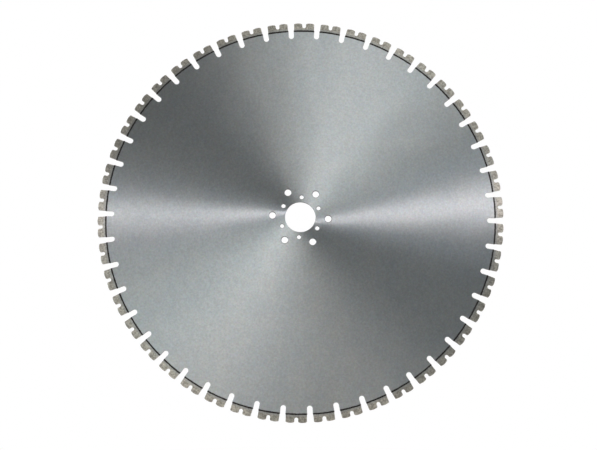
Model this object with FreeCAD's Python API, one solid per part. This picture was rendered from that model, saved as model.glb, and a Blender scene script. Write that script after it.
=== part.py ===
"""Wall saw diamond blade, 800 mm.

One flat steel core carries forty-six sintered diamond segments. Each segment has two layers:
a diamond-bearing crown with two rounded teeth and a U-notch between them, and a thin
diamond-free base. A laser weld seam joins each base to the core rim. Round-ended radial slots
part the rim into one land per segment. The hub has the arbor bore, a circle of six drive
holes and, half a step round from them, a circle of six flush-cut screw holes.

Frame: millimetres, origin at the centre of the arbor bore at mid thickness, +Y along the
blade's axis of rotation, +Z up. The core's front face looks to -Y. Angles are in degrees in
the XZ plane, from +X towards +Z. Seams, bases and crowns are built on the +Z radius and then
turned to their places.
"""
import FreeCAD, Part
import math
import os

Vector = FreeCAD.Vector
ORIGIN = Vector(0, 0, 0)
AXIS = Vector(0, 1, 0)

# Blade
BLADE_RADIUS = 400.0          # tip circle
SEGMENT_COUNT = 46            # segments, and as many slots
PITCH = 360.0 / SEGMENT_COUNT
START_ANGLE = 114.0           # first slot and first drive hole

# Steel core
CORE_THICKNESS = 3.5
CORE_RADIUS = 382.3           # rim, where the weld seam starts
SLOT_WIDTH = 10.7
SLOT_BOTTOM_RADIUS = 367.5    # deepest point of the full-round slot end

# Holes
BORE_RADIUS = 30.0
BORE_CHAMFER = 0.4
# Hole circles: count, circle diameter, hole radius, chamfer, offset in steps from START_ANGLE
HOLE_CIRCLES = [
    (6, 110.0, 6.5, 1.2, 0.0),    # drive holes
    (6, 80.0, 4.0, 1.0, 0.5),     # screw holes
]
CHAMFER_OVERRUN = 0.5         # how far a chamfer cone reaches out of the core face

# Weld seam
SEAM_OUTER_RADIUS = 384.6     # where the base layer starts
SEAM_HALF_LENGTH = 20.85      # a little past the land and the segment
SEAM_CREST_RISE = 0.27        # above the core face, midway between rim and base
SEAM_BASE_RISE = 0.18         # above the core face, where the seam meets the base

# Segment
SEGMENT_THICKNESS = 4.4       # wider than the core for side clearance
SEGMENT_HALF_LENGTH = 20.4
BASE_OUTER_RADIUS = 388.3     # where the diamond crown starts
NOTCH_HALF_WIDTH = 3.65
NOTCH_BOTTOM_RADIUS = 389.8   # deepest point of the full-round notch
TOOTH_CORNER_DROP = 1.45      # unrounded tooth corners below the tip circle
END_CORNER_RADIUS = 2.0       # tooth corners at the segment's ends
NOTCH_CORNER_RADIUS = 2.8     # tooth corners at the notch


# ---------------------------------------------------------------- geometry helpers
def polar(radius, angle):
    """Point at mid thickness."""
    turn = math.radians(angle)
    return Vector(radius * math.cos(turn), 0, radius * math.sin(turn))


def height_on_circle(x, radius):
    """Z of a circle about the blade's axis at the tangential distance x."""
    return math.sqrt(radius * radius - x * x)


def line(start, end):
    return Part.LineSegment(start, end).toShape()


def arc(start, middle, end):
    return Part.Arc(start, middle, end).toShape()


def made_positive(solid):
    """Turns the solid right side out if its volume is negative."""
    if solid.Volume < 0:
        solid.reverse()
    return solid


def plate(edges, thickness):
    """Plate centred on Y = 0 from a closed outline in the XZ plane."""
    face = Part.Face(Part.Wire(edges))
    face.translate(Vector(0, -thickness / 2, 0))
    return made_positive(face.extrude(Vector(0, thickness, 0)))


def turned(shape, angle):
    """Copy of a shape on the +Z radius, turned to the angle."""
    copy = shape.copy()
    copy.rotate(ORIGIN, AXIS, 90.0 - angle)
    return copy


def on_every_land(shape):
    """One copy of the shape midway between each slot and the next."""
    return [turned(shape, START_ANGLE + (k + 0.5) * PITCH) for k in range(SEGMENT_COUNT)]


def export(name, shape):
    shape.exportStep(os.path.join("parts", name + ".step"))


# ---------------------------------------------------------------- steel core
def slot_points(angle):
    """Five points round a slot, from its clockwise rim corner as seen from the front."""
    half_width = SLOT_WIDTH / 2
    rim_z = height_on_circle(half_width, CORE_RADIUS)
    round_z = SLOT_BOTTOM_RADIUS + half_width
    turn = FreeCAD.Rotation(AXIS, 90.0 - angle)
    return [turn.multVec(Vector(x, 0, z)) for x, z in (
        (half_width, rim_z),
        (half_width, round_z),
        (0, SLOT_BOTTOM_RADIUS),
        (-half_width, round_z),
        (-half_width, rim_z),
    )]


def core_outline():
    edges = []
    for k in range(SEGMENT_COUNT):
        angle = START_ANGLE + k * PITCH
        rim_start, round_start, bottom, round_end, rim_end = slot_points(angle)
        next_slot_start = slot_points(angle + PITCH)[0]
        land_middle = polar(CORE_RADIUS, angle + PITCH / 2)
        edges += [
            line(rim_start, round_start),
            arc(round_start, bottom, round_end),
            line(round_end, rim_end),
            arc(rim_end, land_middle, next_slot_start),
        ]
    return edges


def drill(centre, radius):
    start = centre - AXIS * CORE_THICKNESS
    return Part.makeCylinder(radius, 2 * CORE_THICKNESS, start, AXIS)


def chamfer_cone(centre, radius, chamfer, side):
    """45 degree cone for a hole's edge on the front (side -1) or back (side 1) face."""
    widening = chamfer + CHAMFER_OVERRUN
    start = centre + AXIS * (side * (CORE_THICKNESS / 2 + CHAMFER_OVERRUN))
    return Part.makeCone(radius + widening, radius, widening, start, AXIS * -side)


def make_core():
    """Plate with the slotted rim, the bore and both hole circles, all holes chamfered."""
    holes = [(ORIGIN, BORE_RADIUS, BORE_CHAMFER)]
    for count, diameter, radius, chamfer, offset in HOLE_CIRCLES:
        for i in range(count):
            angle = START_ANGLE + (i + offset) * 360.0 / count
            holes.append((polar(diameter / 2, angle), radius, chamfer))

    drills = [drill(centre, radius) for centre, radius, _ in holes]
    cones = [chamfer_cone(*hole, side) for hole in holes for side in (-1, 1)]
    core = plate(core_outline(), CORE_THICKNESS)
    core = core.cut(Part.makeCompound(drills)).cut(Part.makeCompound(cones))
    return core.Solids[0]


# ---------------------------------------------------------------- weld seam
def make_seam():
    """Bead between rim and base layer, proud of both core faces, swept about the axis."""
    core_face = CORE_THICKNESS / 2
    crest = core_face + SEAM_CREST_RISE
    base_edge = core_face + SEAM_BASE_RISE
    middle_radius = (CORE_RADIUS + SEAM_OUTER_RADIUS) / 2

    back_rim = Vector(0, core_face, CORE_RADIUS)
    back_crest = Vector(0, crest, middle_radius)
    back_base = Vector(0, base_edge, SEAM_OUTER_RADIUS)
    front_base = Vector(0, -base_edge, SEAM_OUTER_RADIUS)
    front_crest = Vector(0, -crest, middle_radius)
    front_rim = Vector(0, -core_face, CORE_RADIUS)
    section = Part.Face(Part.Wire([
        arc(back_rim, back_crest, back_base),
        line(back_base, front_base),
        arc(front_base, front_crest, front_rim),
        line(front_rim, back_rim),
    ]))
    half_angle = math.degrees(SEAM_HALF_LENGTH / middle_radius)
    section.rotate(ORIGIN, AXIS, -half_angle)
    return made_positive(section.revolve(ORIGIN, AXIS, 2 * half_angle))


# ---------------------------------------------------------------- segment
def segment_arc_points(radius):
    """Points on a circle at the segment's -X end, middle and +X end."""
    return [Vector(x, 0, height_on_circle(x, radius))
            for x in (-SEGMENT_HALF_LENGTH, 0.0, SEGMENT_HALF_LENGTH)]


def make_base():
    """Diamond-free layer with parallel ends, curved to follow the rim."""
    inner_left, inner_middle, inner_right = segment_arc_points(SEAM_OUTER_RADIUS)
    outer_left, outer_middle, outer_right = segment_arc_points(BASE_OUTER_RADIUS)
    return plate([
        arc(inner_left, inner_middle, inner_right),
        line(inner_right, outer_right),
        arc(outer_right, outer_middle, outer_left),
        line(outer_left, inner_left),
    ], SEGMENT_THICKNESS)


def corner_edges(solid, half_width, z):
    """The two edges along Y at x = +-half_width and height z."""
    found = []
    for edge in solid.Edges:
        if len(edge.Vertexes) != 2:
            continue
        start, end = (vertex.Point for vertex in edge.Vertexes)
        along_y = abs(start.x - end.x) < 1e-6 and abs(start.z - end.z) < 1e-6
        if along_y and abs(abs(start.x) - half_width) < 1e-6 and abs(start.z - z) < 1e-4:
            found.append(edge)
    return found


def make_crown():
    """Diamond layer: two teeth with domed tops, rounded corners and a full-round notch."""
    tooth_middle = (SEGMENT_HALF_LENGTH + NOTCH_HALF_WIDTH) / 2
    end_z = height_on_circle(SEGMENT_HALF_LENGTH, BLADE_RADIUS) - TOOTH_CORNER_DROP
    top_z = height_on_circle(tooth_middle, BLADE_RADIUS)
    notch_z = height_on_circle(NOTCH_HALF_WIDTH, BLADE_RADIUS) - TOOTH_CORNER_DROP
    round_z = NOTCH_BOTTOM_RADIUS + NOTCH_HALF_WIDTH

    def tooth_points(side):
        """End corner, top, notch corner and start of the notch's round."""
        return [Vector(side * x, 0, z) for x, z in (
            (SEGMENT_HALF_LENGTH, end_z),
            (tooth_middle, top_z),
            (NOTCH_HALF_WIDTH, notch_z),
            (NOTCH_HALF_WIDTH, round_z),
        )]

    foot_left, foot_middle, foot_right = segment_arc_points(BASE_OUTER_RADIUS)
    right_end, right_top, right_notch, right_round = tooth_points(1)
    left_end, left_top, left_notch, left_round = tooth_points(-1)
    crown = plate([
        arc(foot_left, foot_middle, foot_right),
        line(foot_right, right_end),
        arc(right_end, right_top, right_notch),
        line(right_notch, right_round),
        arc(right_round, Vector(0, 0, NOTCH_BOTTOM_RADIUS), left_round),
        line(left_round, left_notch),
        arc(left_notch, left_top, left_end),
        line(left_end, foot_left),
    ], SEGMENT_THICKNESS)

    # The first fillet renews the edges, so the notch corners are picked after it.
    end_corners = corner_edges(crown, SEGMENT_HALF_LENGTH, end_z)
    crown = crown.makeFillet(END_CORNER_RADIUS, end_corners)
    notch_corners = corner_edges(crown, NOTCH_HALF_WIDTH, notch_z)
    crown = crown.makeFillet(NOTCH_CORNER_RADIUS, notch_corners)
    return crown.Solids[0]


# ---------------------------------------------------------------- files
os.makedirs("parts", exist_ok=True)
export("steel_core", make_core())
for number, crown in enumerate(on_every_land(make_crown()), start=1):
    export("segment_%02d" % number, crown)
export("segment_bases", Part.makeCompound(on_every_land(make_base())))
export("weld_seams", Part.makeCompound(on_every_land(make_seam())))
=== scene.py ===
"""Wall saw diamond blade: a steel core with 46 notched segments welded round its rim.

Scene in metres, shapes worked out in millimetres. The origin is the centre of the arbor bore,
+Y runs along the axis of rotation, +Z is up and the core's front face looks to -Y.
Angles on the blade run from +X towards +Z.
"""

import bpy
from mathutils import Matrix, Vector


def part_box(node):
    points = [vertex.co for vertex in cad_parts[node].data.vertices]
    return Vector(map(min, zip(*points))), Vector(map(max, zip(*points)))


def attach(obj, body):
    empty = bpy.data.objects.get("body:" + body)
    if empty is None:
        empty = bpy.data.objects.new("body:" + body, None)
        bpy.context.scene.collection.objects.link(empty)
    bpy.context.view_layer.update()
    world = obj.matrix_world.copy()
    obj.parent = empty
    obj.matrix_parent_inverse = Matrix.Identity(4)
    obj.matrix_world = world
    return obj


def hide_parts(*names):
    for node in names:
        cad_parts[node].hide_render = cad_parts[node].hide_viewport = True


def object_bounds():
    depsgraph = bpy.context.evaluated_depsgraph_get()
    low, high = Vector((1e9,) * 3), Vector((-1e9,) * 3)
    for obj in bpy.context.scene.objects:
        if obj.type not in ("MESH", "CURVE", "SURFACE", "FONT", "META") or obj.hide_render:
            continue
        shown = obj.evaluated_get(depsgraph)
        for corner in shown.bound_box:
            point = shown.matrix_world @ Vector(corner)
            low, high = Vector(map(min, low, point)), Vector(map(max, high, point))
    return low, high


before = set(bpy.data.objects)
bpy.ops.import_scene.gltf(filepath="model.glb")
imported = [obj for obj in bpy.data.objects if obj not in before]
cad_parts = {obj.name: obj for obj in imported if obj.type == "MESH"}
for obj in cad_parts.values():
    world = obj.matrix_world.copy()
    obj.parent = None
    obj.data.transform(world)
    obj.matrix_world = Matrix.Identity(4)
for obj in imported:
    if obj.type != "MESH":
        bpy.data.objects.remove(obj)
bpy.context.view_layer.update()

import math
from types import SimpleNamespace

import bmesh
import bpy
import numpy as np
from mathutils import Matrix, Vector
from mathutils.geometry import delaunay_2d_cdt
from mathutils.kdtree import KDTree

MM = 0.001

# ---------------------------------------------------------------- dimensions, mm and degrees
SEGMENTS = 46
PITCH = 360.0 / SEGMENTS
CLOCK = 114.0  # angle of the first slot and the first drive hole
BLADE_R = 400.0

CORE_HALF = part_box("steel_core")[1].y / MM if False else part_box("steel_core")[1].y * 1000.0
CORE_R = 382.3
SLOT_HALF, SLOT_BOTTOM_R = 5.35, 367.5
RIM_ROUND, SLOT_ROUND = 0.06, 0.20
BORE_R, BORE_CHAMFER = 30.0, 0.4
HOLE_COUNT = 6
DRIVE_PCD, DRIVE_R, DRIVE_CHAMFER = 110.0, 6.5, 1.2
SCREW_PCD, SCREW_R, SCREW_CHAMFER = 80.0, 4.0, 1.0

SEAM_R, SEAM_HALF, SEAM_RISE = 384.6, 20.85, 0.27

SEGMENT_T_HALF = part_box("segment_01")[1].y * 1000.0
SEGMENT_HALF, BASE_R = 20.4, 388.3
NOTCH_HALF, NOTCH_BOTTOM_R = 3.65, 389.8
CROWN_DROP = 1.45  # how far a tooth's corners lie below the blade's circle
TOOTH_R_OUT, TOOTH_R_IN = 2.0, 2.8
FACE_HOLD = 0.07  # flat strip inside a segment's rounded edge

# Mesh spacing
SLOT_STEP, RIM_STEP = 0.5, 1.6
CROWN_STEP, BASE_STEP = 0.5, 0.9

# Inner points of the core's faces: (radius, spacing along the circle).
HUB_RINGS = [(33, 2.5), (36, 3), (47, 4), (64, 5), (70, 6), (78, 7), (88, 8)]
HUB_STAGGER = 0.37  # turn of a hub ring for each mm of radius, in points
WEB_RINGS = [(radius, 11.0) for radius in np.arange(100, 352, 10.0)]
RIM_RINGS = [(356, 6.0), (361, 4.0), (364.5, 2.6), (368.5, 3.0), (372.5, 3.4), (376.5, 3.0),
             (379.6, 2.4)]

# Crown surface
GRIT_COUNT, GRIT_SHAPES = 72, 8
PIT_COUNT = 16

# Weld bead mesh and its ripples
BEAD_ACROSS, BEAD_ALONG = 9, 96
RIPPLE_PITCH, RIPPLE_HEIGHT, RIPPLE_BOW = 0.87, 0.045, 0.35
BEAD_LUMP = 0.035

# Face tags, also the core's material indices
FLAT, RIM, HOLE = 0, 1, 2


def segment_angle(k):
    return CLOCK + (k + 0.5) * PITCH


# ---------------------------------------------------------------- seeded noise
def hash01(ix, iy, iz, seed):
    """A repeatable value from 0 to 1 for each lattice point; the large factors mix the bits."""
    h = (ix.astype(np.int64) * 374761393 + iy.astype(np.int64) * 668265263
         + iz.astype(np.int64) * 2147483647 + seed * 1274126177) & 0xFFFFFFFF
    h = ((h ^ (h >> 13)) * 1274126177) & 0xFFFFFFFF
    h = ((h ^ (h >> 16)) * 2246822519) & 0xFFFFFFFF
    return ((h ^ (h >> 15)) & 0xFFFFFF) / float(0xFFFFFF)


def value_noise(points, seed):
    """Smooth noise from -1 to 1 at an n by 3 array of points in lattice units."""
    cell = np.floor(points)
    share = points - cell
    share = share * share * share * (share * (share * 6 - 15) + 10)
    cell = cell.astype(np.int64)
    out = np.zeros(len(points))
    for dx in (0, 1):
        for dy in (0, 1):
            for dz in (0, 1):
                weight = ((share[:, 0] if dx else 1 - share[:, 0])
                          * (share[:, 1] if dy else 1 - share[:, 1])
                          * (share[:, 2] if dz else 1 - share[:, 2]))
                out += weight * hash01(cell[:, 0] + dx, cell[:, 1] + dy, cell[:, 2] + dz, seed)
    return out * 2 - 1


def fractal(points, seed):
    """Two octaves of value noise, the second half as strong."""
    coarse = value_noise(points, seed)
    fine = value_noise(points * 2.0 + 17.3, seed + 101)
    return (coarse + 0.5 * fine) / 1.5


# ---------------------------------------------------------------- outlines in the (x, z) plane
def sample_arc(cx, cz, radius, start, end, step):
    count = max(2, int(math.ceil(abs(end - start) * radius / step)))
    t = np.linspace(start, end, count + 1)
    return np.stack([cx + radius * np.cos(t), cz + radius * np.sin(t)], 1)


def sample_line(start, end, step):
    start, end = np.array(start, float), np.array(end, float)
    count = max(1, int(math.ceil(np.linalg.norm(end - start) / step)))
    return start + (end - start) * np.linspace(0, 1, count + 1)[:, None]


def three_point_arc(start, middle, end, count):
    (ax, az), (mx, mz), (bx, bz) = start, middle, end
    d = 2 * (ax * (mz - bz) + mx * (bz - az) + bx * (az - mz))
    a_sq, m_sq, b_sq = ax * ax + az * az, mx * mx + mz * mz, bx * bx + bz * bz
    cx = (a_sq * (mz - bz) + m_sq * (bz - az) + b_sq * (az - mz)) / d
    cz = (a_sq * (bx - mx) + m_sq * (ax - bx) + b_sq * (mx - ax)) / d
    radius = math.hypot(ax - cx, az - cz)
    a0, a1 = (math.atan2(z - cz, x - cx) for x, z in (start, end))
    if abs(a1 - a0) > math.pi:
        a1 += 2 * math.pi if a1 < a0 else -2 * math.pi
    t = np.linspace(a0, a1, count)
    return np.stack([cx + radius * np.cos(t), cz + radius * np.sin(t)], 1)


def join(runs):
    """Joins runs of points that share end points into one closed loop without repeats."""
    points = []
    for run in runs:
        for point in run:
            if not points or np.linalg.norm(point - points[-1]) > 1e-6:
                points.append(point)
    if np.linalg.norm(points[0] - points[-1]) < 1e-6:
        points.pop()
    return np.array(points)


def turned(points, degrees):
    """Turns (x, z) points built on the +Z radius to an angle on the blade."""
    a = math.radians(degrees - 90.0)
    c, s = math.cos(a), math.sin(a)
    return np.stack([points[:, 0] * c - points[:, 1] * s, points[:, 0] * s + points[:, 1] * c], 1)


def place_on_blade(verts, degrees):
    """Turns 3D points built on the +Z radius to an angle on the blade."""
    xz = turned(verts[:, [0, 2]], degrees)
    return np.stack([xz[:, 0], verts[:, 1], xz[:, 1]], 1)


def hole_loop(pcd, degrees, radius, count):
    """Clockwise circle, so that inward() points away from the hole."""
    a = math.radians(degrees)
    t = np.arange(count) * 2 * math.pi / count
    circle = np.stack([pcd / 2 * math.cos(a) + radius * np.cos(t),
                       pcd / 2 * math.sin(a) + radius * np.sin(t)], 1)
    return circle[::-1]


def inward(loop):
    """Mitred normals into the material, which lies to the left of the loop's direction."""
    before = loop - np.roll(loop, 1, 0)
    after = np.roll(loop, -1, 0) - loop
    before /= np.linalg.norm(before, axis=1, keepdims=True)
    after /= np.linalg.norm(after, axis=1, keepdims=True)
    normal = np.stack([-(before[:, 1] + after[:, 1]), before[:, 0] + after[:, 0]], 1)
    length = np.linalg.norm(normal, axis=1, keepdims=True)
    normal = normal / length
    mitre = 1.0 / np.maximum(length / 2.0, 0.7)
    return normal * mitre


# ---------------------------------------------------------------- plates with broken edges
def rounded_edge(sizes):
    """(inset, depth) steps from the flat face round to the wall."""
    turns = [i * math.pi / 2 / 3 for i in range(4)]
    return [(sizes * (1 - math.sin(a)), sizes * (1 - math.cos(a))) for a in turns]


def chamfered_edge(sizes):
    """(inset, depth) steps of a straight chamfer with its two corners just broken."""
    return [(sizes, 0.0 * sizes), (0.93 * sizes, 0.0 * sizes + 0.02),
            (0.05 * sizes, 0.95 * sizes), (0.0 * sizes, 1.05 * sizes)]


def triangle_lattice(points, spacing):
    """Rows of staggered points over the bounds of the given points."""
    lo, hi = np.min(points, 0), np.max(points, 0)
    lattice = []
    for j, z in enumerate(np.arange(lo[1], hi[1], spacing * 0.866)):
        for x in np.arange(lo[0] + (spacing / 2 if j % 2 else 0), hi[0], spacing):
            lattice.append((x, z))
    return lattice


def inside_triangles(triangles, rim_edges):
    """Keeps the triangles an odd number of rim edges in from the outside."""
    owners_of = {}
    for i, t in enumerate(triangles):
        for a, b in ((t[0], t[1]), (t[1], t[2]), (t[2], t[0])):
            owners_of.setdefault(frozenset((a, b)), []).append(i)
    parity = [None] * len(triangles)
    stack = []
    for edge, owners in owners_of.items():
        if len(owners) == 1 and parity[owners[0]] is None:
            parity[owners[0]] = 1 if edge in rim_edges else 0
            stack.append(owners[0])
    while stack:
        i = stack.pop()
        t = triangles[i]
        for a, b in ((t[0], t[1]), (t[1], t[2]), (t[2], t[0])):
            edge = frozenset((a, b))
            for j in owners_of[edge]:
                if parity[j] is None:
                    parity[j] = parity[i] ^ (1 if edge in rim_edges else 0)
                    stack.append(j)
    return [t for t, odd in zip(triangles, parity) if odd == 1]


def triangulate(points, edges, lattice, clearance):
    """Fills the area between the edges, with lattice points no nearer than clearance to a rim
    point. Returns the points, the triangles and, for each point, the inputs it came from."""
    tree = KDTree(len(points))
    for i, (x, z) in enumerate(points):
        tree.insert((x, z, 0), i)
    tree.balance()
    kept = [tuple(p) for p in lattice if tree.find((p[0], p[1], 0))[2] > clearance]
    out = delaunay_2d_cdt([Vector(p) for p in points + kept], edges, [], 0, 1e-7, True)
    new_points, triangles, origins = out[0], out[2], out[3]
    where = {source: i for i, sources in enumerate(origins) for source in sources}
    rim_edges = {frozenset((where[a], where[b])) for a, b in edges}
    return new_points, inside_triangles(triangles, rim_edges), origins


def plate(outline, edge_sizes, half, wall_rows, clearance,
          holes=(), spacing=None, lattice=None, hold=0.0):
    """Closed plate mesh from y = -half to half: its points, faces and a tag for each face.

    The outline's edges are rounded by a size per point; holes are (loop, chamfer) pairs. Inner
    points come from lattice, or lie spacing apart. A hold adds a row that far inside the edge,
    which keeps the flat face's shading flat.
    """
    loops = [(outline, edge_sizes, RIM, rounded_edge)]
    loops += [(loop, np.full(len(loop), size), HOLE, chamfered_edge) for loop, size in holes]
    verts, faces, tags = [], [], []
    points, edges, front_rim, back_rim = [], [], [], []
    for loop, sizes, tag, edge_steps in loops:
        count = len(loop)
        into = inward(loop)
        steps = edge_steps(sizes)
        skin = steps[-1][1]
        rows = [(inset, -half + depth) for inset, depth in steps]
        for i in range(wall_rows):
            share = (i + 1) / (wall_rows + 1)
            rows.append((0.0 * sizes, -half + skin + share * (2 * half - 2 * skin)))
        rows += [(inset, half - depth) for inset, depth in reversed(steps)]
        if hold:
            rows = [(sizes + hold, -half)] + rows + [(sizes + hold, half)]
        starts = []
        for inset, y in rows:
            starts.append(len(verts))
            xz = loop + into * inset[:, None]
            verts.extend(np.stack([xz[:, 0], np.full(count, y), xz[:, 1]], 1))
        for a, b in zip(starts[:-1], starts[1:]):
            for i in range(count):
                after = (i + 1) % count
                faces.append((a + i, b + i, b + after, a + after))
                tags.append(tag)
        front_rim.extend(range(starts[0], starts[0] + count))
        back_rim.extend(range(starts[-1], starts[-1] + count))
        first = len(points)
        points.extend(map(tuple, loop + into * (sizes + hold)[:, None]))
        edges.extend((first + i, first + (i + 1) % count) for i in range(count))

    # The flat faces: one triangulation, used on both sides.
    if lattice is None:
        lattice = triangle_lattice(points, spacing)
    flat_points, triangles, origins = triangulate(points, edges, lattice, clearance)
    front, back = {}, {}
    for i, sources in enumerate(origins):
        rim = [source for source in sources if source < len(points)]
        if rim:
            front[i], back[i] = front_rim[rim[0]], back_rim[rim[0]]
    for i in sorted({i for t in triangles for i in t}):
        if i not in front:
            front[i], back[i] = len(verts), len(verts) + 1
            verts.append((flat_points[i].x, -half, flat_points[i].y))
            verts.append((flat_points[i].x, half, flat_points[i].y))
    for t in triangles:
        faces.append(tuple(front[i] for i in t))
        faces.append(tuple(back[i] for i in reversed(t)))
        tags += [FLAT, FLAT]
    return np.array(verts, float), faces, np.array(tags)


# ---------------------------------------------------------------- mesh helpers
def fan_triangles(faces):
    return np.array([(f[0], f[i], f[i + 1]) for f in faces for i in range(1, len(f) - 1)])


def orient(verts, faces):
    """Flips all faces together if the closed mesh is inside out."""
    a, b, c = verts[fan_triangles(faces)].transpose(1, 0, 2)
    volume = np.sum(a * np.cross(b, c))
    return faces if volume > 0 else [tuple(reversed(f)) for f in faces]


def mesh_normals(verts, faces):
    """Area-weighted vertex normals."""
    tri = fan_triangles(faces)
    face_normals = np.cross(verts[tri[:, 1]] - verts[tri[:, 0]], verts[tri[:, 2]] - verts[tri[:, 0]])
    normals = np.zeros_like(verts)
    for column in range(3):
        np.add.at(normals, tri[:, column], face_normals)
    return normals / np.maximum(np.linalg.norm(normals, axis=1, keepdims=True), 1e-12)


def make_object(name, verts_mm, faces, materials, material_index=None, smooth=True,
                attributes=None):
    """smooth is one flag or one per face; attributes holds a value per vertex under each name."""
    mesh = bpy.data.meshes.new(name)
    mesh.from_pydata((verts_mm * MM).tolist(), [], [list(map(int, f)) for f in faces])
    for mat in materials:
        mesh.materials.append(mat)
    if material_index is not None:
        mesh.polygons.foreach_set("material_index", material_index.astype(np.int32))
    mesh.polygons.foreach_set("use_smooth", np.full(len(mesh.polygons), smooth, bool))
    for key, values in (attributes or {}).items():
        attribute = mesh.attributes.new(key, "FLOAT", "POINT")
        attribute.data.foreach_set("value", np.asarray(values, np.float32))
    mesh.update()
    return link_object(name, mesh)


def link_object(name, data):
    obj = bpy.data.objects.new(name, data)
    bpy.context.scene.collection.objects.link(obj)
    return obj


def hand_over(obj, piece):
    """Puts the object in place of a CAD piece."""
    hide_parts(piece)
    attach(obj, "root")


# ---------------------------------------------------------------- shader nodes
class Nodes:
    """Writes shader node trees as short expressions. Every value is a socket or a number."""

    def __init__(self, tree):
        self.tree = tree
        tree.nodes.clear()

    def new(self, kind, **props):
        place = len(self.tree.nodes)
        node = self.tree.nodes.new(kind)
        node.location = (-1800 + 180 * (place % 12), -220 * (place // 12))
        for key, value in props.items():
            setattr(node, key, value)
        return node

    def put(self, socket, value):
        if isinstance(value, bpy.types.NodeSocket):
            self.tree.links.new(value, socket)
        elif value is not None:
            socket.default_value = value

    def fill(self, node, values):
        """Puts values into inputs in order, or by name from a dictionary."""
        pairs = values.items() if isinstance(values, dict) else enumerate(values)
        for key, value in pairs:
            self.put(node.inputs[key], value)
        return node

    def math(self, operation, *values):
        return self.fill(self.new("ShaderNodeMath", operation=operation), values).outputs[0]

    def add(self, a, b): return self.math("ADD", a, b)
    def sub(self, a, b): return self.math("SUBTRACT", a, b)
    def mul(self, a, b): return self.math("MULTIPLY", a, b)
    def div(self, a, b): return self.math("DIVIDE", a, b)
    def madd(self, a, b, c): return self.math("MULTIPLY_ADD", a, b, c)

    def hypot(self, a, b):
        return self.math("SQRT", self.add(self.mul(a, a), self.mul(b, b)))

    def varied(self, noise, by, about=None):
        """A noise about 0.5 turned into a swing about zero or about a value."""
        swing = self.sub(noise, 0.5)
        return self.mul(swing, by) if about is None else self.madd(swing, by, about)

    def combine(self, x, y, z):
        return self.fill(self.new("ShaderNodeCombineXYZ"), (x, y, z)).outputs[0]

    def split(self, vector):
        return self.fill(self.new("ShaderNodeSeparateXYZ"), (vector,)).outputs

    def noise(self, vector, scale, detail=2.0, rough=0.5, out="Fac"):
        node = self.new("ShaderNodeTexNoise")
        values = {"Vector": vector, "Scale": scale, "Detail": detail, "Roughness": rough}
        return self.fill(node, values).outputs[out]

    def dots(self, vector, scale, fade):
        """White spots at random places, fading out between two distances in cells."""
        node = self.fill(self.new("ShaderNodeTexVoronoi"), {"Vector": vector, "Scale": scale})
        return self.remap(node.outputs["Distance"], fade, (1.0, 0.0), smooth=True)

    def times(self, a, b):
        """Two colours multiplied."""
        return self.fill(self.new("ShaderNodeVectorMath", operation="MULTIPLY"), (a, b)).outputs[0]

    def around_one(self, colour, amount):
        """A colour about 0.5 turned into a factor about 1."""
        node = self.new("ShaderNodeVectorMath", operation="MULTIPLY_ADD")
        return self.fill(node, (colour, (amount,) * 3, (1 - amount / 2,) * 3)).outputs[0]

    def tint(self, colour, factor):
        """A colour times a number."""
        node = self.new("ShaderNodeVectorMath", operation="SCALE")
        return self.fill(node, {0: colour, "Scale": factor}).outputs[0]

    def remap(self, value, source, target=(0.0, 1.0), smooth=False):
        kind = "SMOOTHSTEP" if smooth else "LINEAR"
        node = self.new("ShaderNodeMapRange", interpolation_type=kind, clamp=True)
        return self.fill(node, {"Value": value, "From Min": source[0], "From Max": source[1],
                                "To Min": target[0], "To Max": target[1]}).outputs[0]

    def mix(self, factor, a, b):
        node = self.new("ShaderNodeMix", data_type="RGBA", blend_type="MIX")
        return self.fill(node, {0: factor, 6: a, 7: b}).outputs[2]

    def bump(self, height, distance, normal=None):
        return self.fill(self.new("ShaderNodeBump"), {
            "Strength": 1.0, "Distance": distance, "Height": height, "Normal": normal}).outputs[0]

    def geometry(self, out):
        return self.new("ShaderNodeNewGeometry").outputs[out]

    def attribute(self, name):
        return self.new("ShaderNodeAttribute", attribute_name=name).outputs["Fac"]

    def shader(self, kind, values=()):
        return self.fill(self.new(kind), values).outputs[0]

    def mix_shader(self, factor, a, b):
        return self.shader("ShaderNodeMixShader", (factor, a, b))

    def principled(self, values):
        """A principled surface joined to the material's output."""
        surface = self.shader("ShaderNodeBsdfPrincipled", values)
        self.fill(self.new("ShaderNodeOutputMaterial"), {"Surface": surface})


def material(name):
    mat = bpy.data.materials.new(name)
    mat.use_nodes = True
    return mat, Nodes(mat.node_tree)


SWIRL = 0.010  # m; the grinding marks run off true circles: their normals miss the centre by this
SIDE_SHIFT = 3.7  # sets the marks of the front and back faces apart


def blade_coordinates(t):
    """The surface point, its radius and unit radial direction (out_x, out_z), a shift for its
    side of the blade, and the direction across the grinding marks."""
    point = t.geometry("Position")
    x, y, z = t.split(point)
    radius = t.math("MAXIMUM", t.hypot(x, z), 0.005)
    out_x, out_z = t.div(x, radius), t.div(z, radius)
    sine = t.math("MINIMUM", t.div(SWIRL, radius), 0.5)
    cosine = t.math("SQRT", t.sub(1.0, t.mul(sine, sine)))
    across_x = t.sub(t.mul(cosine, out_x), t.mul(sine, out_z))
    across_z = t.add(t.mul(cosine, out_z), t.mul(sine, out_x))
    return SimpleNamespace(point=point, x=x, y=y, z=z, radius=radius, out_x=out_x, out_z=out_z,
                           side=t.mul(t.math("SIGN", y), SIDE_SHIFT),
                           across=t.combine(across_x, 0.0, across_z))


def grinding_marks(t, at, across, along, detail=2.0, rough=0.5):
    """Noise drawn out round the blade: across sets how fine it is along the radius."""
    vector = t.combine(t.mul(at.radius, across), t.madd(at.out_x, along, at.side),
                       t.mul(at.out_z, along))
    return t.noise(vector, 1.0, detail, rough)


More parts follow.
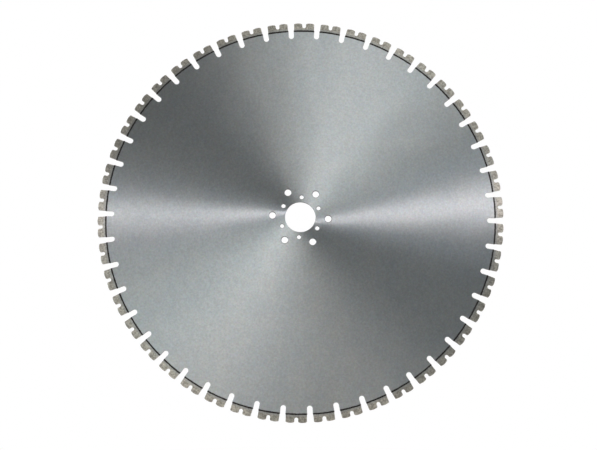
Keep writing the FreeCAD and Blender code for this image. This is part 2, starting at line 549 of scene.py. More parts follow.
def wall_marks(t, point, plane, depth):
    """Noise scaled one way in the blade's plane and another through its thickness."""
    x, y, z = t.split(point)
    vector = t.combine(t.mul(x, plane), t.mul(y, depth), t.mul(z, plane))
    return t.noise(vector, 1.0, detail=2.0, rough=0.6)


def ragged_radius(t, at, fine, broad):
    """The radius shifted by noise, for the uneven borders of the dark bands at the weld, which are
    heat tint together with painted shade of the step.
    """
    fine_noise = t.noise(at.point, 700.0, detail=3.0, rough=0.6)
    return t.add(at.radius, t.varied(fine_noise, by=fine, about=broad))


def painted_slant_shade(t):
    """Painted shade: white for a face seen nearly square on, darker for one seen at a slant, which
    dims the colour and with it the reflections in views from the side.
    """
    geometry = t.new("ShaderNodeNewGeometry")
    incoming = geometry.outputs["Incoming"]
    dot = t.new("ShaderNodeVectorMath", operation="DOT_PRODUCT")
    t.fill(dot, (incoming, geometry.outputs["Normal"]))
    along_axis = t.split(incoming)[1]
    square = t.math("MAXIMUM", t.math("ABSOLUTE", dot.outputs["Value"]),
                    t.math("ABSOLUTE", along_axis))
    painted_slant_colour = (0.480, 0.455, 0.450, 1)
    return t.mix(t.remap(square, (0.60, 0.92), smooth=True), painted_slant_colour, (1, 1, 1, 1))


# ---------------------------------------------------------------- materials
STEEL = (0.555, 0.600, 0.608)


def ground_steel():
    mat, t = material("core_ground_steel")
    at = blade_coordinates(t)
    arcs = grinding_marks(t, at, across=1500.0, along=16.0, detail=3.0, rough=0.6)
    grain = t.noise(at.point, 300.0, detail=1.0)
    cloud = t.noise(at.point, 26.0, detail=3.0, rough=0.55)
    wide = t.noise(at.point, 7.0)
    tone = t.add(t.add(t.varied(arcs, by=0.16, about=1.0), t.varied(grain, by=0.39)),
                 t.add(t.varied(cloud, by=0.10), t.varied(wide, by=0.06)))

    # Painted shade: the colour's brightness falls off with radius as a quadratic about mid_radius
    # (m).
    mid_radius, span, slope, curve = 0.22, 0.2, -0.0873, -0.0207
    reach = t.div(t.sub(at.radius, mid_radius), span)
    painted_radial_shade = t.add(t.madd(reach, slope, 1.0), t.mul(t.mul(reach, reach), curve))
    tone = t.mul(tone, painted_radial_shade)

    red, green, blue = STEEL
    cool_steel = (red * 0.985, green, blue * 1.01, 1)
    warm_steel = (red * 1.015, green, blue * 0.985, 1)
    heat_tint_and_step_shade = (0.030, 0.026, 0.024, 1)
    base = t.mix(t.remap(cloud, (0.3, 0.7)), cool_steel, warm_steel)
    # Dark band just inside the core's rim at the foot of the weld bead: heat tint together with
    # painted shade of the step up to the bead.
    broad = t.varied(t.noise(at.point, 190.0, detail=1.0), by=0.0012)
    edge = ragged_radius(t, at, fine=0.0006, broad=broad)
    burnt = t.remap(edge, (0.38170, 0.38205), (0.0, 0.93), smooth=True)
    base = t.mix(burnt, base, heat_tint_and_step_shade)
    fleck = t.noise(at.point, 340.0, detail=0.0, out="Color")
    colour = t.times(t.tint(base, tone), t.around_one(fleck, 0.15))

    sway = t.bump(t.noise(at.point, 13.0, detail=1.0, rough=0.4), distance=0.0003)
    scratches = grinding_marks(t, at, across=2600.0, along=9.0)
    t.principled({
        # The base colour carries painted shade that darkens it when seen at a slant.
        "Base Color": t.times(colour, painted_slant_shade(t)),
        "Metallic": 1.0,
        "Roughness": t.add(t.varied(grain, by=0.008, about=0.2812), t.varied(cloud, by=0.006)),
        "Anisotropic": 1.0,
        "Tangent": at.across,
        "Normal": t.bump(scratches, distance=0.000006, normal=sway)})
    return mat


def cut_wall():
    mat, t = material("core_cut_wall")
    point = t.geometry("Position")
    streak = wall_marks(t, point, plane=2400.0, depth=120.0)
    cloud = t.noise(point, 260.0, detail=3.0, rough=0.6)
    dark, pale = (0.105, 0.088, 0.072, 1), (0.200, 0.185, 0.168, 1)
    burnt = t.mix(t.remap(cloud, (0.35, 0.65)), dark, pale)
    t.principled({
        "Base Color": t.tint(burnt, t.varied(streak, by=0.8, about=1.0)),
        "Metallic": 0.85,
        "Roughness": t.varied(cloud, by=0.25, about=0.47),
        "Normal": t.bump(streak, distance=0.00004)})
    return mat


def turned_wall():
    mat, t = material("core_hole_wall")
    point = t.geometry("Position")
    rings = wall_marks(t, point, plane=120.0, depth=6000.0)
    cloud = t.noise(point, 300.0, rough=0.6)
    bare_steel = (0.25, 0.255, 0.26)
    tone = t.add(t.varied(rings, by=0.3, about=1.0), t.varied(cloud, by=0.3))
    t.principled({
        "Base Color": t.tint(bare_steel, tone),
        "Metallic": 1.0,
        "Roughness": t.varied(cloud, by=0.15, about=0.33),
        "Normal": t.bump(rings, distance=0.00002)})
    return mat


def sinter_pores(t, at, scale, fade):
    """Pores, shifted along X to keep them clear of other dots."""
    return t.dots(t.combine(t.add(at.x, 0.31), at.y, at.z), scale, fade)


def sinter_tone(t, at, patch, patch_by, marks_by):
    marks = grinding_marks(t, at, across=2200.0, along=60.0, rough=0.6)
    return t.add(t.varied(patch, by=patch_by, about=1.0), t.varied(marks, by=marks_by))


def sinter_blotch(t, at, by):
    noise = t.noise(at.point, 300.0, rough=0.6)
    return t.madd(t.remap(noise, (0.34, 0.66), (-0.5, 0.5), smooth=True), by, 1.0)


def crown_matrix():
    mat, t = material("crown_sintered_diamond")
    at = blade_coordinates(t)
    grit, lift, tone_seed = (t.attribute(name) for name in ("grit", "lift", "tone"))
    mottle = t.noise(at.point, 420.0, detail=4.0, rough=0.62)
    patch = t.noise(at.point, 130.0)
    spot = t.dots(at.point, 1300.0, fade=(0.10, 0.28))
    pores = sinter_pores(t, at, 900.0, fade=(0.04, 0.16))

    dark, pale = (0.356, 0.342, 0.291, 1), (0.521, 0.507, 0.446, 1)
    spot_colour, pore_colour = (0.60, 0.585, 0.50, 1), (0.060, 0.054, 0.045, 1)
    grit_colour = (0.62, 0.61, 0.47, 1)
    base = t.mix(t.remap(mottle, (0.32, 0.68)), dark, pale)
    for mask, strength, colour in ((spot, 0.45, spot_colour), (pores, 0.75, pore_colour),
                                   (grit, 0.85, grit_colour)):
        base = t.mix(t.mul(mask, strength), base, colour)

    tone = sinter_tone(t, at, patch, patch_by=0.40, marks_by=0.22)
    tone = t.mul(tone, t.madd(tone_seed, 0.09, 1.0))  # each segment has its own shade
    # Painted shade: the colour is darker in the hollows and pits of the relief and lighter on its
    # high points.
    tone = t.mul(tone, t.remap(lift, (-1.0, 1.0), (0.84, 1.12)))  # hollows darker
    tone = t.mul(tone, sinter_blotch(t, at, by=0.55))
    height = t.add(t.mul(mottle, 0.7), t.sub(t.mul(spot, 0.5), t.mul(pores, 1.0)))
    bare = t.sub(1.0, t.mul(grit, 0.9))
    t.principled({
        # The base colour carries painted shade that darkens it when seen at a slant.
        "Base Color": t.times(t.tint(base, tone), painted_slant_shade(t)),
        "Metallic": t.mul(bare, 0.80),
        "Roughness": t.add(t.varied(mottle, by=0.06, about=0.305), t.mul(grit, 0.02)),
        "Anisotropic": 1.0,
        "Tangent": at.across,
        "Normal": t.bump(height, distance=0.00004)})
    return mat


def base_matrix():
    mat, t = material("base_sintered")
    at = blade_coordinates(t)
    mottle = t.noise(at.point, 520.0, detail=4.0, rough=0.62)
    patch = t.noise(at.point, 130.0)
    pores = sinter_pores(t, at, 1100.0, fade=(0.03, 0.12))

    dark, pale = (0.355, 0.360, 0.333, 1), (0.469, 0.474, 0.441, 1)
    pore_colour, heat_tint_and_step_shade = (0.055, 0.052, 0.047, 1), (0.016, 0.015, 0.014, 1)
    base = t.mix(t.remap(mottle, (0.32, 0.68)), dark, pale)
    base = t.mix(t.mul(pores, 0.6), base, pore_colour)
    # Dark band along the base layer's inner edge next to the weld bead: heat tint together with
    # painted shade of the step.
    edge = ragged_radius(t, at, fine=0.0009, broad=t.varied(patch, by=0.0010))
    burnt = t.remap(edge, (0.38488, 0.38528), (1.0, 0.0), smooth=True)
    base = t.mix(burnt, base, heat_tint_and_step_shade)

    tone = t.mul(sinter_tone(t, at, patch, patch_by=0.30, marks_by=0.25),
                 sinter_blotch(t, at, by=0.30))
    height = t.sub(t.mul(mottle, 0.7), t.mul(pores, 0.8))
    t.principled({
        # The base colour carries painted shade that darkens it when seen at a slant.
        "Base Color": t.times(t.tint(base, tone), painted_slant_shade(t)),
        "Metallic": 0.80,
        "Roughness": t.varied(mottle, by=0.06, about=0.305),
        "Anisotropic": 1.0,
        "Tangent": at.across,
        "Normal": t.bump(height, distance=0.00004)})
    return mat


def weld_oxide():
    mat, t = material("weld_oxide")
    point = t.geometry("Position")
    lift = t.attribute("lift")
    cloud = t.noise(point, 380.0, detail=3.0, rough=0.6)
    soot = t.noise(point, 1500.0, detail=3.0, rough=0.65)
    black, brown = (0.013, 0.013, 0.014, 1), (0.036, 0.032, 0.030, 1)
    crest_painted_highlight = (0.072, 0.066, 0.067, 1)
    base = t.mix(t.remap(cloud, (0.35, 0.65)), black, brown)
    # Painted highlight: the ripple crests are painted lighter than the hollows between them.
    crest = t.mix(t.remap(lift, (0.35, 1.0), (0.0, 0.45)), base, crest_painted_highlight)
    t.principled({
        "Base Color": t.tint(crest, t.varied(soot, by=0.9, about=1.0)),
        "Metallic": 0.2,
        "Specular IOR Level": 0.25,
        "Roughness": t.varied(soot, by=0.3, about=0.50),
        "Normal": t.bump(soot, distance=0.00005)})
    return mat


# ---------------------------------------------------------------- steel core
def core_outline():
    """Counter-clockwise rim with a round-bottomed slot before each segment."""
    runs = []
    z_rim = math.sqrt(CORE_R ** 2 - SLOT_HALF ** 2)
    z_end = SLOT_BOTTOM_R + SLOT_HALF
    half_slot = math.asin(SLOT_HALF / CORE_R)
    slot = [sample_line((SLOT_HALF, z_rim), (SLOT_HALF, z_end), SLOT_STEP),
            sample_arc(0, z_end, SLOT_HALF, 0.0, -math.pi, SLOT_STEP),
            sample_line((-SLOT_HALF, z_end), (-SLOT_HALF, z_rim), SLOT_STEP)]
    for k in range(SEGMENTS):
        angle = CLOCK + k * PITCH
        runs += [turned(run, angle) for run in slot]
        start = math.radians(angle) + half_slot
        end = math.radians(angle + PITCH) - half_slot
        runs.append(sample_arc(0, 0, CORE_R, start, end, RIM_STEP))
    return join(runs)


def core_holes():
    """The bore, then drive holes and screw holes in turn, as (loop, chamfer)."""
    holes = [(hole_loop(0, 0, BORE_R, 256), BORE_CHAMFER)]
    for i in range(HOLE_COUNT):
        angle = CLOCK + i * 60
        holes.append((hole_loop(DRIVE_PCD, angle, DRIVE_R, 96), DRIVE_CHAMFER))
        angle = CLOCK + (i + 0.5) * 60
        holes.append((hole_loop(SCREW_PCD, angle, SCREW_R, 72), SCREW_CHAMFER))
    return holes


def ring_points(radius, spacing, stagger):
    count = int(2 * math.pi * radius / spacing)
    return [(radius * math.cos(2 * math.pi * (i + stagger) / count),
             radius * math.sin(2 * math.pi * (i + stagger) / count)) for i in range(count)]


def core_lattice():
    """Rings of inner points, close together near the hub and the rim, clear of the slots."""
    points = []
    for radius, spacing in HUB_RINGS:
        points += ring_points(radius, spacing, HUB_STAGGER * radius)
    for rings in (WEB_RINGS, RIM_RINGS):
        for j, (radius, spacing) in enumerate(rings):
            points += ring_points(radius, spacing, 0.5 * (j % 2))
    lattice = []
    pitch = math.radians(PITCH)
    for x, z in points:
        r = math.hypot(x, z)
        angle = (math.atan2(z, x) - math.radians(CLOCK)) % pitch
        off_slot = min(angle, pitch - angle) * r
        near_rim = off_slot < SLOT_HALF + 0.9 or r > CORE_R - 1.5
        if not (r > SLOT_BOTTOM_R - 1.0 and near_rim):
            lattice.append((x, z))
    return lattice


def striate_slots(verts):
    """Cut marks on the slot walls: fine steps that lag behind towards the back face."""
    depth, lag_depth = 0.022, 0.12
    r = np.hypot(verts[:, 0], verts[:, 2])
    angle = np.arctan2(verts[:, 2], verts[:, 0])
    from_slot = (np.degrees(angle) - CLOCK) % PITCH
    off_slot = np.radians(np.minimum(from_slot, PITCH - from_slot)) * r
    wall = ((np.abs(verts[:, 1]) < CORE_HALF - 0.05) & (r > SLOT_BOTTOM_R - 0.1)
            & (r < CORE_R - 0.3) & (off_slot < SLOT_HALF + 0.05))
    lag = lag_depth * ((verts[:, 1] + CORE_HALF) / (2 * CORE_HALF)) ** 2
    noise_at = np.stack([verts[:, 0] * 1.3, verts[:, 1] * 0.25 + 3.1, verts[:, 2] * 1.3 - lag], 1)
    push = depth * fractal(noise_at, 5) * wall
    to_slot = np.where(from_slot < PITCH / 2, -1.0, 1.0)
    verts[:, 0] += -np.sin(angle) * push * to_slot
    verts[:, 2] += np.cos(angle) * push * to_slot


def make_core(materials):
    outline = core_outline()
    on_rim = np.hypot(outline[:, 0], outline[:, 1]) > CORE_R - 0.02
    verts, faces, tags = plate(
        outline, np.where(on_rim, RIM_ROUND, SLOT_ROUND), CORE_HALF, wall_rows=3, clearance=0.9,
        holes=core_holes(), lattice=core_lattice())
    striate_slots(verts)
    core = make_object("core_plate", verts, orient(verts, faces), materials, tags,
                       smooth=tags != FLAT)
    hand_over(core, "steel_core")


# ---------------------------------------------------------------- segment crowns
def tooth_corner(wall_x, wall_dir, radius, dome):
    """Where an arc that touches both a tooth's wall and its dome meets the dome, and its centre.
    wall_dir is the way from the material to the wall along X."""
    best_gap = None
    for i in range(2, len(dome) - 2):
        tangent = dome[i + 1] - dome[i - 1]
        tangent = tangent / np.linalg.norm(tangent)
        normal = np.array([tangent[1], -tangent[0]])
        if normal[1] > 0:
            normal = -normal
        centre = dome[i] + normal * radius
        gap = abs(abs(centre[0] - wall_x) - radius)
        if best_gap is None or gap < best_gap:
            best_gap, best_i, best_z = gap, i, centre[1]
    return best_i, (wall_x - wall_dir * radius, best_z)


def spaced_out(loop, step, z_corner):
    """Drops points that crowd the one before, but never the two lower corners."""
    closed = np.vstack([loop, loop[:1]])
    lengths = np.linalg.norm(np.diff(closed, axis=0), axis=1)
    along = np.concatenate([[0], np.cumsum(lengths)])
    keep = [0]
    for i in range(1, len(loop)):
        at_corner = (abs(abs(loop[i, 0]) - SEGMENT_HALF) < 1e-9
                     and abs(loop[i, 1] - z_corner) < 1e-6)
        if along[i] - along[keep[-1]] > step * 0.55 or at_corner:
            keep.append(i)
    return loop[keep]


def crown_outline(step):
    """Counter-clockwise outline of the two teeth on the +Z radius, and each point's rounding."""
    mid = (SEGMENT_HALF + NOTCH_HALF) / 2.0
    z_out = math.sqrt(BLADE_R ** 2 - SEGMENT_HALF ** 2) - CROWN_DROP
    z_mid = math.sqrt(BLADE_R ** 2 - mid ** 2)
    z_in = math.sqrt(BLADE_R ** 2 - NOTCH_HALF ** 2) - CROWN_DROP
    z_low = math.sqrt(BASE_R ** 2 - SEGMENT_HALF ** 2)
    z_notch = NOTCH_BOTTOM_R + NOTCH_HALF
    dome = three_point_arc((SEGMENT_HALF, z_out), (mid, z_mid), (NOTCH_HALF, z_in), 60)

    # The dome is trimmed at each rounded corner and the corner's arc put in.
    i_out, (x_out, z_out_arc) = tooth_corner(SEGMENT_HALF, 1.0, TOOTH_R_OUT, dome)
    i_in, (x_in, z_in_arc) = tooth_corner(NOTCH_HALF, -1.0, TOOTH_R_IN, dome)
    a_out = math.atan2(dome[i_out][1] - z_out_arc, dome[i_out][0] - x_out)
    a_in = math.atan2(dome[i_in][1] - z_in_arc, dome[i_in][0] - x_in)
    right = np.concatenate([
        sample_line((SEGMENT_HALF, z_low), (SEGMENT_HALF, z_out_arc), step),
        sample_arc(x_out, z_out_arc, TOOTH_R_OUT, 0.0, a_out, step),
        dome[i_out:i_in + 1],
        sample_arc(x_in, z_in_arc, TOOTH_R_IN, a_in, math.pi, step),
        sample_line((NOTCH_HALF, z_in_arc), (NOTCH_HALF, z_notch), step),
        sample_arc(0, z_notch, NOTCH_HALF, 0.0, -math.pi / 2, step)])
    left = right[::-1] * np.array([-1.0, 1.0])
    bottom = sample_arc(0, 0, BASE_R, math.atan2(z_low, -SEGMENT_HALF),
                        math.atan2(z_low, SEGMENT_HALF), step)
    loop = spaced_out(join([right, left, bottom]), step, z_low)
    r = np.hypot(loop[:, 0], loop[:, 1])
    return loop, 0.05 + 0.30 * np.clip((r - BASE_R) / 1.2, 0, 1)


def crystal(rng):
    """Corner points of a blocky grit crystal about 1 across: a cube with its corners cut."""
    points = []
    cut = 0.42 + 0.2 * rng.random()
    for axis in range(3):
        for side in (-1, 1):
            for u, w in ((cut, 0), (0, cut), (-cut, 0), (0, -cut)):
                point = [0.0, 0.0, 0.0]
                point[axis] = side
                point[(axis + 1) % 3] = u
                point[(axis + 2) % 3] = w
                points.append(point)
    points = np.array(points) / 2.0
    points *= 1.0 + 0.12 * (rng.random((1, 3)) - 0.5)
    quaternion = rng.normal(size=4)
    quaternion /= np.linalg.norm(quaternion)
    w, x, y, z = quaternion
    turn = np.array([
        [1 - 2 * (y * y + z * z), 2 * (x * y - z * w), 2 * (x * z + y * w)],
        [2 * (x * y + z * w), 1 - 2 * (x * x + z * z), 2 * (y * z - x * w)],
        [2 * (x * z - y * w), 2 * (y * z + x * w), 1 - 2 * (x * x + y * y)]])
    return points @ turn.T


def convex_hull(points):
    bm = bmesh.new()
    for point in points:
        bm.verts.new(point)
    bmesh.ops.convex_hull(bm, input=bm.verts)
    bm.verts.index_update()
    bm.verts.ensure_lookup_table()
    verts = np.array([v.co[:] for v in bm.verts])
    faces = [tuple(v.index for v in f.verts) for f in bm.faces]
    bm.free()
    return verts, faces


def pit_depths(rng, verts):
    """Open pits round randomly picked vertices."""
    pits = np.zeros(len(verts))
    for _ in range(PIT_COUNT):
        centre = verts[rng.integers(len(verts))]
        distance = np.linalg.norm(verts - centre, axis=1)
        size = 0.5 + 0.5 * rng.random()
        depth = 0.05 + 0.09 * rng.random()
        pits = np.maximum(pits, np.exp(-(distance / size) ** 2 * 2.0) * depth)
    return pits


def make_crowns(mat):
    loop, roundings = crown_outline(CROWN_STEP)
    verts, faces, _ = plate(loop, roundings, SEGMENT_T_HALF, wall_rows=5, clearance=0.42,
                            spacing=0.55, hold=FACE_HOLD)
    faces = orient(verts, faces)
    normals = mesh_normals(verts, faces)
    r = np.hypot(verts[:, 0], verts[:, 2])
    on_face = np.abs(normals[:, 1]) > 0.8
    # The relief and the pits die out towards the base layer.
    relief_share = np.clip((r - BASE_R - 0.1) / 0.9, 0, 1)
    pit_share = np.clip((r - BASE_R - 0.8) / 1.0, 0, 1)
    relief = np.where(on_face, 0.007, 0.060) * relief_share
    wear = np.where(on_face, 0.007, 0.05) * relief_share
    crystals = [convex_hull(crystal(np.random.default_rng(900 + i))) for i in range(GRIT_SHAPES)]
    for k in range(SEGMENTS):
        rng = np.random.default_rng(4000 + k)
        shift = np.array([k * 61.7, k * 13.1, 0.0])
        lift = (fractal(verts * 0.55 + shift, 11) * 0.55
                + fractal(verts * 1.7 + shift, 23) * 0.45)
        surface = verts + normals * (lift * relief - wear)[:, None]
        pits = pit_depths(rng, verts)
        surface = surface - normals * (pits * pit_share)[:, None]
        tone = float(rng.normal()) * 0.6

        all_verts, all_faces = [surface], list(faces)
        next_vert = len(surface)
        placed = 0
        while placed < GRIT_COUNT:
            i = rng.integers(len(verts))
            # Grit keeps off the base, and a quarter of the picks on the flat faces is dropped.
            if r[i] < BASE_R + 1.0 or (on_face[i] and rng.random() < 0.25):
                continue
            size = 0.42 + 0.22 * rng.random()
            grain_verts, grain_faces = crystals[rng.integers(GRIT_SHAPES)]
            sink = -0.26 + 0.10 * rng.random()
            all_verts.append(grain_verts * size + (surface[i] + normals[i] * size * sink))
            all_faces += [tuple(a + next_vert for a in f) for f in grain_faces]
            next_vert += len(grain_verts)
            placed += 1
        grit_verts = next_vert - len(surface)
        crown = make_object(
            "crown_%02d" % (k + 1), place_on_blade(np.vstack(all_verts), segment_angle(k)),
            all_faces, [mat], np.zeros(len(all_faces), int),
            smooth=np.arange(len(all_faces)) < len(faces),
            attributes={
                "grit": np.repeat([0.0, 1.0], [len(surface), grit_verts]),
                # The lift attribute also drives the crown's painted shade, darker in hollows and
                # pits.
                "lift": np.concatenate([np.clip(lift - pits * 8, -1, 1), np.zeros(grit_verts)]),
                "tone": np.full(next_vert, tone)})
        hand_over(crown, "segment_%02d" % (k + 1))


# ---------------------------------------------------------------- segment base layers
def base_outline(step):
    """Counter-clockwise outline of a base layer on the +Z radius, and each point's rounding."""
    half = SEGMENT_HALF
    z_low = math.sqrt(SEAM_R ** 2 - half ** 2)
    z_high = math.sqrt(BASE_R ** 2 - half ** 2)
    # The lower arc runs from -X to +X, the upper one back from +X to -X.
    loop = join([
        sample_arc(0, 0, SEAM_R, math.atan2(z_low, -half), math.atan2(z_low, half), step),
        sample_line((half, z_low), (half, z_high), step),
        sample_arc(0, 0, BASE_R, math.atan2(z_high, half), math.atan2(z_high, -half), step),
        sample_line((-half, z_high), (-half, z_low), step)])
    r = np.hypot(loop[:, 0], loop[:, 1])
    return loop, 0.05 + 0.16 * np.clip((BASE_R - 0.6 - r) / 2.0, 0, 1)


def make_bases(mat):
    loop, roundings = base_outline(BASE_STEP)
    verts, faces, _ = plate(loop, roundings, SEGMENT_T_HALF, wall_rows=2, clearance=0.6,
                            spacing=0.9, hold=FACE_HOLD)
    faces = orient(verts, faces)
    normals = mesh_normals(verts, faces)
    r = np.hypot(verts[:, 0], verts[:, 2])
    relief_share = np.clip((BASE_R - 0.1 - r) / 0.5, 0, 1)  # none where it meets the crown
    all_verts, all_faces = [], []
    for k in range(SEGMENTS):
        lift = fractal(verts * 1.1 + np.array([k * 37.3, 0, k * 5.9]), 77)
        surface = verts + normals * ((lift * 0.006 - 0.006) * relief_share)[:, None]
        all_verts.append(place_on_blade(surface, segment_angle(k)))
        all_faces += [tuple(a + len(verts) * k for a in f) for f in faces]
    bases = make_object("base_layers", np.vstack(all_verts), all_faces, [mat])
    hand_over(bases, "segment_bases")


# ---------------------------------------------------------------- weld beads
def bead_points(phase):
    """One rippled bead on the +Z radius, with overlapping scales on its front and back crests.
    Returns its rows of points, how far noise may push each along Y, and its lift."""
    mid_r = (CORE_R + SEAM_R) / 2
    half_angle = SEAM_HALF / mid_r
    across = np.linspace(-1, 1, BEAD_ACROSS)
    points, pushes, lifts = [], [], []
    for j in range(BEAD_ALONG + 1):
        share = j / BEAD_ALONG
        angle = (share * 2 - 1) * half_angle
        along = share * 2 * SEAM_HALF
        for side in (-1, 1):
            for w in across * -side:  # w is -1 at the core and 1 at the base layer
                crest = 1 - w * w
                bow = RIPPLE_BOW * w * w
                ripple = ((along + phase * side + bow) / RIPPLE_PITCH) % 1.0
                scale = RIPPLE_HEIGHT * crest * (0.5 - ripple)
                edge = 0.18 * (w + 1) / 2
                rise = edge * 0.9 + (SEAM_RISE - 0.09) * crest * 0.95 - 0.035
                radius = mid_r + w * (SEAM_R - CORE_R) / 2
                points.append((radius * math.sin(angle), side * (CORE_HALF + rise + scale),
                               radius * math.cos(angle)))
                pushes.append(side * BEAD_LUMP * crest)
                lifts.append((rise + scale) / SEAM_RISE * (1 - abs(w)) + scale * 8)
    return np.array(points), np.array(pushes), lifts


def bead_faces():
    """Quads round and along a bead, closed by a face at each end."""
    count = 2 * BEAD_ACROSS
    faces = []
    for j in range(BEAD_ALONG):
        a, b = j * count, (j + 1) * count
        for i in range(count):
            after = (i + 1) % count
            faces.append((a + i, a + after, b + after, b + i))
    faces.append(tuple(range(count))[::-1])
    faces.append(tuple(BEAD_ALONG * count + i for i in range(count)))
    return faces


def make_welds(mat):
    faces = bead_faces()
    all_verts, all_faces, all_lifts = [], [], []
    for k in range(SEGMENTS):
        phase = np.random.default_rng(7000 + k).random() * 10
        points, pushes, lifts = bead_points(phase)
        noise_at = points * np.array([1.1, 0.4, 1.1]) + np.array([k * 19.7, 0, 0])
        points[:, 1] += pushes * fractal(noise_at, 31)
        all_verts.append(place_on_blade(points, segment_angle(k)))
        all_lifts += lifts
        all_faces += [tuple(a + len(points) * k for a in f) for f in faces]
    verts = np.vstack(all_verts)
    welds = make_object("weld_beads", verts, orient(verts, all_faces), [mat],
                        # The lift attribute also drives the painted highlight on the ripple crests
                        # in the weld material.
                        attributes={"lift": np.clip(np.array(all_lifts), -1, 1)})
    welds.data.set_sharp_from_angle(angle=math.radians(50))
    hand_over(welds, "weld_seams")


make_core([ground_steel(), cut_wall(), turned_wall()])
make_crowns(crown_matrix())
make_bases(base_matrix())
make_welds(weld_oxide())


# ---------------------------------------------------------------- floor, metres
WHITE, GREY = (1.0, 1.0, 1.0, 1), (0.76, 0.76, 0.765, 1)
FLOOR_R, FLOOR_SIDES, FLOOR_GAP = 7, 96, 0.0004
FLOOR_FADE = (0.9, 2.6)  # distances from the axis between which the floor turns into backdrop


def backdrop(t, ahead):
    """White straight behind the blade, pale grey to the sides. ahead is the sight line's +Y
    share."""
    return t.mix(t.remap(ahead, (0.80, 0.895), smooth=True), GREY, WHITE)


def floor_material():
    mat, t = material("pale_floor")
    point = t.geometry("Position")
    x, y, z = t.split(point)
    cloud = t.noise(point, 3.0, detail=3.0)
    dark, pale = (0.600, 0.611, 0.603, 1), (0.630, 0.641, 0.630, 1)
    body = t.shader("ShaderNodeBsdfPrincipled", {
        "Base Color": t.mix(cloud, dark, pale),
        "Roughness": t.madd(cloud, 0.1, 0.75),
        "Specular IOR Level": 0.1,
        "Normal": t.bump(t.noise(point, 400.0), distance=0.0002)})
    ahead = t.mul(t.split(t.geometry("Incoming"))[1], -1.0)
    glow = t.shader("ShaderNodeEmission", {"Color": backdrop(t, ahead)})
    far = t.mix_shader(t.remap(t.hypot(x, y), FLOOR_FADE, smooth=True), body, glow)
    clear = t.shader("ShaderNodeBsdfTransparent")
    surface = t.mix_shader(t.geometry("Backfacing"), far, clear)  # unseen from below
    t.fill(t.new("ShaderNodeOutputMaterial"), {"Surface": surface})
    return mat


def make_floor():
    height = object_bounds()[0].z - FLOOR_GAP
    angles = [2 * math.pi * i / FLOOR_SIDES for i in range(FLOOR_SIDES)]
    ring = [(FLOOR_R * math.cos(a), FLOOR_R * math.sin(a), height) for a in angles]
    mesh = bpy.data.meshes.new("studio_floor")
    mesh.from_pydata(ring, [], [list(range(FLOOR_SIDES))])
    mesh.materials.append(floor_material())
    floor = link_object("studio_floor", mesh)
    floor.visible_glossy = False
    floor.visible_shadow = False


make_floor()

# ---------------------------------------------------------------- studio light
# Soft boxes by their direction from the blade, the same in front of it and behind it:
# centre x, z, half widths, turn in degrees, (red, green, blue) brightness as seen in the steel.
SOFT_BOXES = [
    (0.650, 0.219, 0.073, 0.037, -5.5, (11.527, 11.526, 12.066)),
    (-1.047, 0.195, 0.226, 0.035, 7.2, (9.801, 10.234, 10.678)),
    (0.047, 0.289, 0.043, 0.036, 79.5, (4.483, 4.785, 4.901)),
    (-1.081, -0.029, 0.076, 0.035, 0.7, (15.992, 20.764, 23.301)),
    (-0.373, 0.014, 0.050, 0.041, 39.0, (1.971, 2.331, 2.422)),
    (-0.363, -0.371, 0.141, 0.056, -61.1, (2.288, 2.267, 2.108)),
    (0.261, -0.264, 0.105, 0.047, -127.4, (1.378, 1.438, 1.428)),
    (0.742, -0.169, 0.276, 0.047, 9.2, (0.594, 0.703, 0.746)),
    (1.065, -0.048, 0.054, 0.048, 12.8, (13.497, 18.515, 23.078)),
    (-0.514, -0.232, 0.098, 0.056, 15.9, (1.413, 1.676, 1.713)),
    (-0.028, 0.756, 0.184, 0.047, -30.9, (0.824, 0.954, 0.948)),
    (-0.767, 0.714, 0.048, 0.036, -184.6, (4.807, 4.781, 4.448)),
    (0.529, 0.780, 0.120, 0.053, 32.6, (1.166, 1.428, 1.517)),
    (-0.266, 0.272, 0.036, 0.035, -31.8, (0.770, 0.777, 0.743)),
    (0.887, 0.452, 0.039, 0.035, -6.6, (3.582, 5.498, 7.416)),
    (-0.511, 0.020, 0.093, 0.035, 11.8, (0.651, 0.508, 0.356)),
    (0.204, -0.668, 0.362, 0.052, -32.3, (1.922, 1.818, 1.668)),
    (0.800, 0.720, 0.160, 0.120, 45.8, (2.000, 2.000, 2.000)),
]
AMBIENT = (0.0067, 0.0067, 0.0068)
WING, WING_COLOUR = 0.250, (0.93, 1.0, 1.02)  # glow well off the blade's axis
WING_CENTRE_Z = 0.18


def wing_glow(t, x, z):
    """Glow that grows away from the axis, dimmed low down on the -X side."""
    off_axis = t.hypot(x, t.sub(z, WING_CENTRE_Z))
    glow = t.remap(off_axis, (0.55, 0.90), (0.0, WING), smooth=True)
    low_left = t.mul(t.add(x, z), -0.7071)
    return t.mul(glow, t.remap(low_left, (0.72, 0.92), (1.0, 0.3), smooth=True))


def soft_box(t, x, z, centre_x, centre_z, half_u, half_w, turn):
    """A Gaussian spot, turned from +X towards +Z."""
    c, s = math.cos(math.radians(turn)), math.sin(math.radians(turn))
    from_x, from_z = t.sub(x, centre_x), t.sub(z, centre_z)
    u = t.add(t.mul(from_x, c / half_u), t.mul(from_z, s / half_u))
    w = t.sub(t.mul(from_z, c / half_w), t.mul(from_x, s / half_w))
    return t.math("EXPONENT", t.mul(t.add(t.mul(u, u), t.mul(w, w)), -0.5))


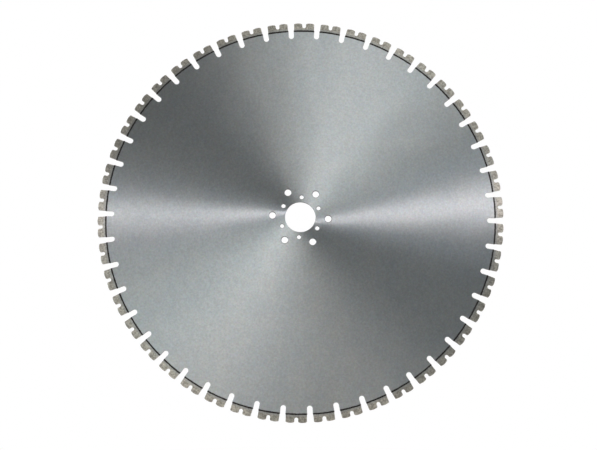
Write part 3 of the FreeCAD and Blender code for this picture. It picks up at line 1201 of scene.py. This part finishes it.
def make_world():
    world = bpy.data.worlds.new("studio")
    world.use_nodes = True
    t = Nodes(world.node_tree)
    x, y, z = t.split(t.new("ShaderNodeTexCoord").outputs["Generated"])
    wing = wing_glow(t, x, z)
    total = [t.madd(wing, share, ambient) for share, ambient in zip(WING_COLOUR, AMBIENT)]
    for *shape, light in SOFT_BOXES:
        spot = soft_box(t, x, z, *shape)
        total = [t.madd(spot, level, so_far) for level, so_far in zip(light, total)]
    # The steel's colour is divided out, because the brightnesses include it.
    colour = t.combine(*[t.div(level, steel) for level, steel in zip(total, STEEL)])
    lit = t.shader("ShaderNodeBackground", {"Color": colour})
    seen = t.shader("ShaderNodeBackground", {"Color": backdrop(t, y)})
    to_camera = t.new("ShaderNodeLightPath").outputs["Is Camera Ray"]
    surface = t.mix_shader(to_camera, lit, seen)
    t.fill(t.new("ShaderNodeOutputWorld"), {"Surface": surface})
    bpy.context.scene.world = world


LAMP_TARGET, LAMP_SIZE = (0, 0, -0.1), 1.8


def make_lamp(name, location, power):
    """A disk lamp aimed at the blade, unseen by the camera and in reflections."""
    light = bpy.data.lights.new(name, "AREA")
    light.shape = "DISK"
    light.size = LAMP_SIZE
    light.energy = power
    light.color = (1, 1, 1)
    lamp = link_object(name, light)
    lamp.location = location
    lamp.rotation_mode = "QUATERNION"
    aim = Vector(LAMP_TARGET) - Vector(location)
    lamp.rotation_quaternion = aim.to_track_quat("-Z", "Y")
    lamp.visible_glossy = False
    lamp.visible_camera = False


make_world()
make_lamp("key_front", location=(-1.6, -2.4, 2.6), power=7)
make_lamp("key_back", location=(1.4, 2.6, 2.4), power=8)

# ---------------------------------------------------------------- camera
CAMERA_AT = (-0.0005, -2.2222, -0.4100)
CAMERA_LOOK = (-0.00161, 0.98460, 0.17482)
CAMERA_UP = (0.04016, -0.17462, 0.98382)


def make_camera():
    look = Vector(CAMERA_LOOK).normalized()
    right = look.cross(Vector(CAMERA_UP)).normalized()
    up = right.cross(look).normalized()
    lens = bpy.data.cameras.new("camera")
    lens.sensor_width = 36.0
    lens.lens = 69.1
    lens.sensor_fit = "AUTO"
    lens.clip_start = 0.01
    lens.clip_end = 50
    camera = link_object("camera", lens)
    rows = [(right[i], up[i], -look[i], CAMERA_AT[i]) for i in range(3)]
    camera.matrix_world = Matrix(rows + [(0, 0, 0, 1)])
    bpy.context.scene.camera = camera


make_camera()
bpy.context.scene.view_settings.view_transform = "Standard"
bpy.context.scene.view_settings.look = "None"
